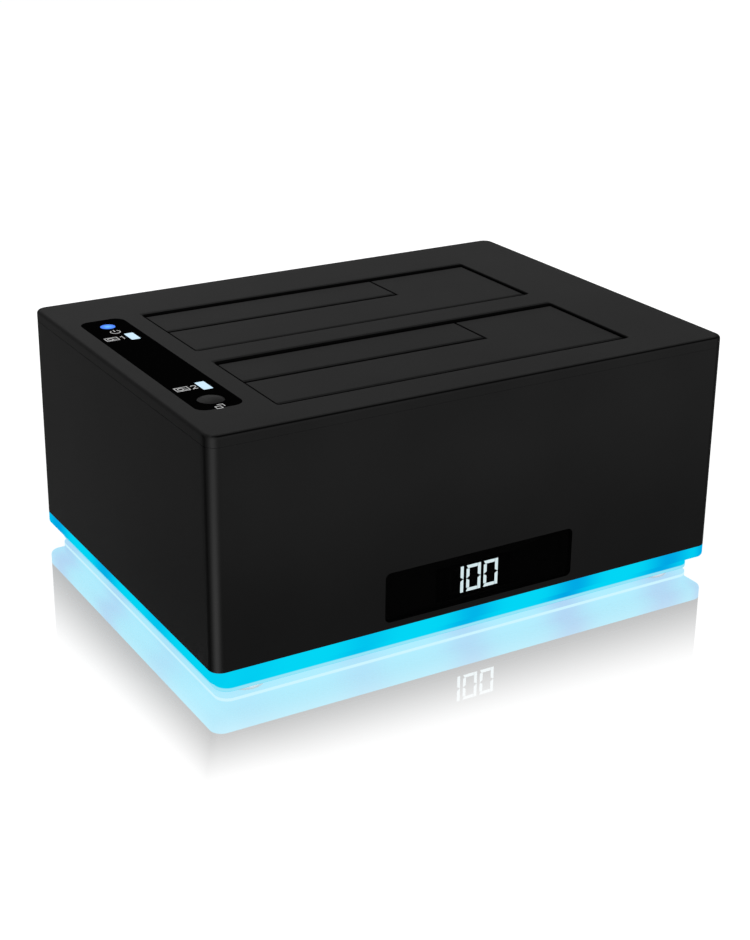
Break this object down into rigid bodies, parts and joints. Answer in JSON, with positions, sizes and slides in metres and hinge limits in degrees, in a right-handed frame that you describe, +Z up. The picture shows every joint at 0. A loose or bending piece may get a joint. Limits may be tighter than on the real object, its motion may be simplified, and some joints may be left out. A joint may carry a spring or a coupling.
{
  "type": "drive duplicator",
  "caption": "Free-standing hard-disk docking and cloning station with two spring-flap bays in its top, a control strip, a number display and a lit base.",
  "frame": {"origin": "middle of the footprint on the surface it stands on", "axes": "+X along the bays to the right, +Y to the back, +Z up"},
  "size_m": [0.151, 0.1116, 0.0689],
  "materials": {
    "black_shell": "fine matte moulded",
    "black_cover": "fine matte moulded",
    "gloss_black": "polished",
    "button_black": "satin dome",
    "flap_black": "fine matte moulded",
    "liner_black": "matte",
    "light_acrylic": "lit translucent",
    "clear_rubber": "clear soft",
    "blue_lens": "lit",
    "ice_lens": "lit",
    "white_light": "lit",
    "module_grey": "matte",
    "socket_black": "satin",
    "switch_black": "satin",
    "rocker_black": "satin",
    "circuit_board": "solder mask",
    "strip_board": "white solder mask",
    "plate_steel": "zinc plated",
    "screw_steel": "plated",
    "sink_aluminium": "extruded",
    "brass": "machined",
    "can_metal": "sleeved",
    "port_metal": "nickel plated",
    "chip_black": "matte",
    "coil_grey": "matte",
    "led_white": "lens",
    "lead_red": "insulated",
    "ribbon_grey": "flat cable",
    "header_white": "moulded"
  },
  "bodies": {
    "root": {"board_screws": "screw_steel", "bridge_chip": "chip_black", "button_switch": "chip_black", "capacitors": "can_metal", "case_screws": "screw_steel", "chassis_plate": "plate_steel", "control_board": "circuit_board", "control_panel": "gloss_black", "display_board": "circuit_board", "display_module": "module_grey", "display_ribbon": "ribbon_grey", "display_screws": "screw_steel", "display_segments": "white_light", "display_window": "gloss_black", "feet": "clear_rubber", "heat_sink": "sink_aluminium", "housing": "black_shell", "light_base": "light_acrylic", "light_leads": "ribbon_grey", "light_strips": "strip_board", "liner_screws": "screw_steel", "main_board": "circuit_board", "memory_chip": "chip_black", "panel_leds": "led_white", "panel_ribbon": "ribbon_grey", "panel_screws": "screw_steel", "power_coils": "coil_grey", "power_jack": "socket_black", "power_led_lens": "blue_lens", "power_switch": "switch_black", "ribbon_headers": "header_white", "source_bay_liner": "liner_black", "source_drive_socket": "socket_black", "source_hinge_pin": "screw_steel", "source_led_lens": "ice_lens", "standoffs": "brass", "strip_leds": "led_white", "switch_leads": "lead_red", "target_bay_liner": "liner_black", "target_drive_socket": "socket_black", "target_hinge_pin": "screw_steel", "target_led_lens": "ice_lens", "top_cover": "black_cover", "usb_port": "port_metal"},
    "source_flap": {"source_flap": "flap_black", "source_flap_spring": "screw_steel"},
    "source_small_flap": {"source_small_flap": "flap_black", "source_small_flap_spring": "screw_steel"},
    "target_flap": {"target_flap": "flap_black", "target_flap_spring": "screw_steel"},
    "target_small_flap": {"target_small_flap": "flap_black", "target_small_flap_spring": "screw_steel"},
    "clone_button": {"clone_button": "button_black", "switch_plunger": "socket_black"},
    "power_rocker": {"power_rocker": "rocker_black"}
  },
  "joints": [
    {"name": "source_flap_hinge", "type": "hinge", "parent": "root", "child": "source_flap", "pos_m": [0, 0.03285, 0.0657], "axis": [1, 0, 0], "range_deg": [0, 88], "stiffness_Nm_per_rad": 0.002, "springref_deg": -68.75},
    {"name": "source_small_flap_hinge", "type": "hinge", "parent": "root", "child": "source_small_flap", "pos_m": [0, 0.03285, 0.0657], "axis": [1, 0, 0], "range_deg": [0, 88], "stiffness_Nm_per_rad": 0.0008, "springref_deg": -68.75},
    {"name": "target_flap_hinge", "type": "hinge", "parent": "root", "child": "target_flap", "pos_m": [0, -0.01215, 0.0657], "axis": [1, 0, 0], "range_deg": [0, 88], "stiffness_Nm_per_rad": 0.002, "springref_deg": -68.75},
    {"name": "target_small_flap_hinge", "type": "hinge", "parent": "root", "child": "target_small_flap", "pos_m": [0, -0.01215, 0.0657], "axis": [1, 0, 0], "range_deg": [0, 88], "stiffness_Nm_per_rad": 0.0008, "springref_deg": -68.75},
    {"name": "clone_button_press", "type": "slide", "parent": "root", "child": "clone_button", "axis": [0, 0, -1], "range_m": [0, 0.0008], "stiffness_N_per_m": 900, "springref_m": -0.0006},
    {"name": "power_rocker_tip", "type": "hinge", "parent": "root", "child": "power_rocker", "pos_m": [-0.036, 0.05205, 0.026], "axis": [1, 0, 0], "range_deg": [0, 20]}
  ]
}
